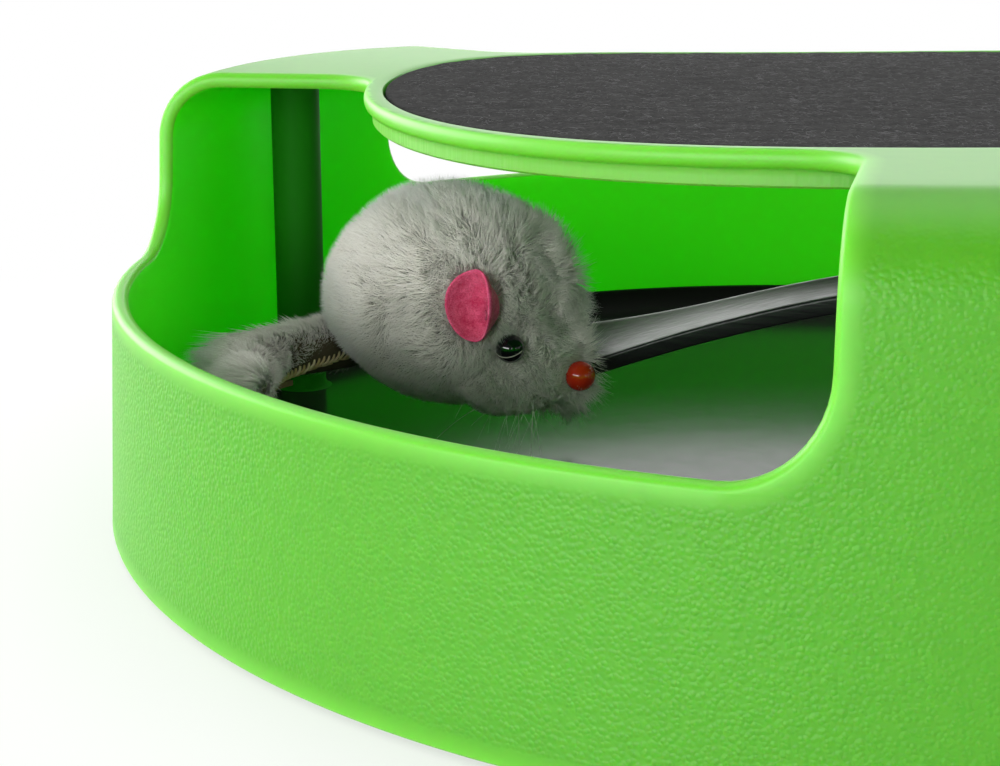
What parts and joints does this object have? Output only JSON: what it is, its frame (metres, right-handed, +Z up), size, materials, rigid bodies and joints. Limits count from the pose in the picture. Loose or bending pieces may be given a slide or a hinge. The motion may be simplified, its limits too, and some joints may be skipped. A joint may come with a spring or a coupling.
{
  "type": "cat scratching plate toy",
  "caption": "Low round cat toy: a felt scratching plate on a windowed drum, with a fur mouse inside that runs round a centre spindle on a strap.",
  "frame": {"origin": "on the table under the centre of the drum's bounding box", "axes": "+Z up along the spindle, -Y towards the viewer of the picture, +X to the viewer's right"},
  "size_m": [0.2459, 0.2459, 0.0646],
  "materials": {
    "green_plastic": "satin leather grain outside, glossy inside and on the edges",
    "charcoal_felt": "needled felt",
    "black_plastic": "high gloss",
    "black_strap": "smooth, slightly glossy",
    "white_acetal": "smooth",
    "plated_steel": "zinc plated",
    "grey_rubber": "matt",
    "grey_fur": "short plush fur",
    "pink_felt": "felt",
    "black_bead": "polished",
    "red_bead": "polished",
    "tan_backing": "woven fur backing with an overcast seam"
  },
  "bodies": {
    "housing": {"top_cover": "green_plastic", "scratch_pad": "charcoal_felt", "base_plate": "black_plastic", "rubber_foot_1": "grey_rubber", "rubber_foot_2": "grey_rubber", "rubber_foot_3": "grey_rubber", "cover_screw_1": "plated_steel", "cover_screw_2": "plated_steel", "cover_screw_3": "plated_steel", "retaining_ring": "plated_steel"},
    "rotor": {"hub_bush": "white_acetal", "rotor_arm": "black_strap", "hub_cap": "white_acetal", "mouse_body": "grey_fur", "mouse_head": "grey_fur", "mouse_tail": "grey_fur", "tail_backing": "tan_backing", "ear_right": "pink_felt", "ear_left": "pink_felt", "eye_bead_right": "black_bead", "eye_bead_left": "black_bead", "nose_bead": "red_bead"}
  },
  "joints": [
    {"name": "rotor_spin", "type": "hinge", "parent": "housing", "child": "rotor", "pos_m": [0, 0, 0.026], "axis": [0, 0, 1], "continuous": true}
  ]
}
